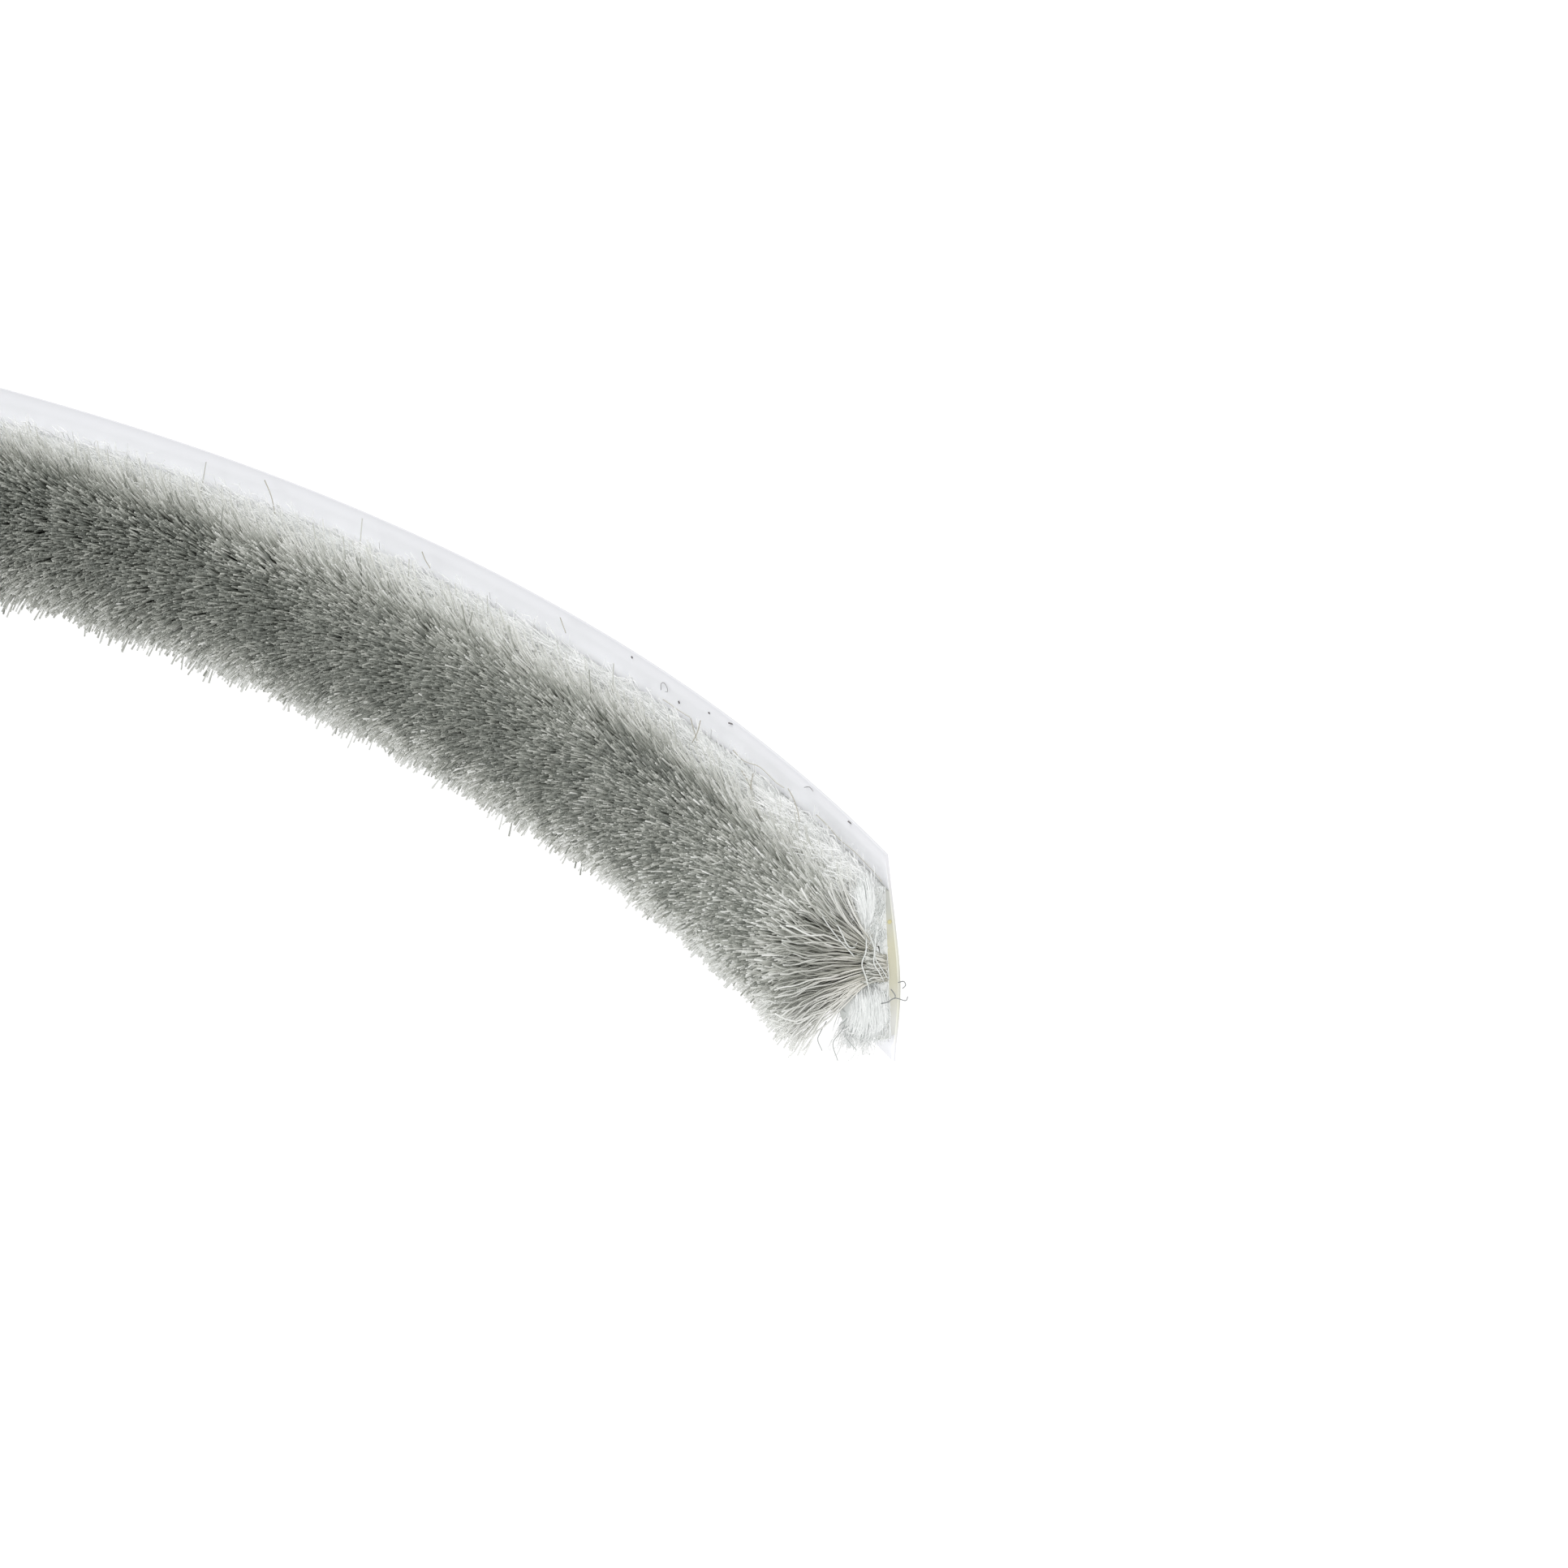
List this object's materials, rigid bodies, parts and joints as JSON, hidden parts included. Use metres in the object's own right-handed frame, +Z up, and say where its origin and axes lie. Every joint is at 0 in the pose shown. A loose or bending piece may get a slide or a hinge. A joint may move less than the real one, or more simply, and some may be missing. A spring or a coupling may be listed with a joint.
{
  "type": "brush seal strip",
  "caption": "Self-adhesive brush seal strip: a dense fibre brush woven into a flat backing, with its release liner, loosely coiled.",
  "frame": {"origin": "on the floor, at the middle of the coil's footprint", "axes": "+Z up, across the strip's width; +X along the footprint's longer side, towards the free end"},
  "size_m": [0.2782, 0.2414, 0.0094],
  "materials": {
    "release_liner": "smooth white film with a faint lavender cast, clean cut edges",
    "adhesive": "translucent yellowish glue",
    "woven_backing": "white woven polypropylene, slightly translucent, frayed where cut",
    "brush_fibre": "grey polypropylene filaments with a soft sheen"
  },
  "bodies": {
    "root": {"release_liner": "release_liner", "adhesive_layer": "adhesive", "woven_backing": "woven_backing", "brush_pile": "brush_fibre"}
  },
  "joints": []
}
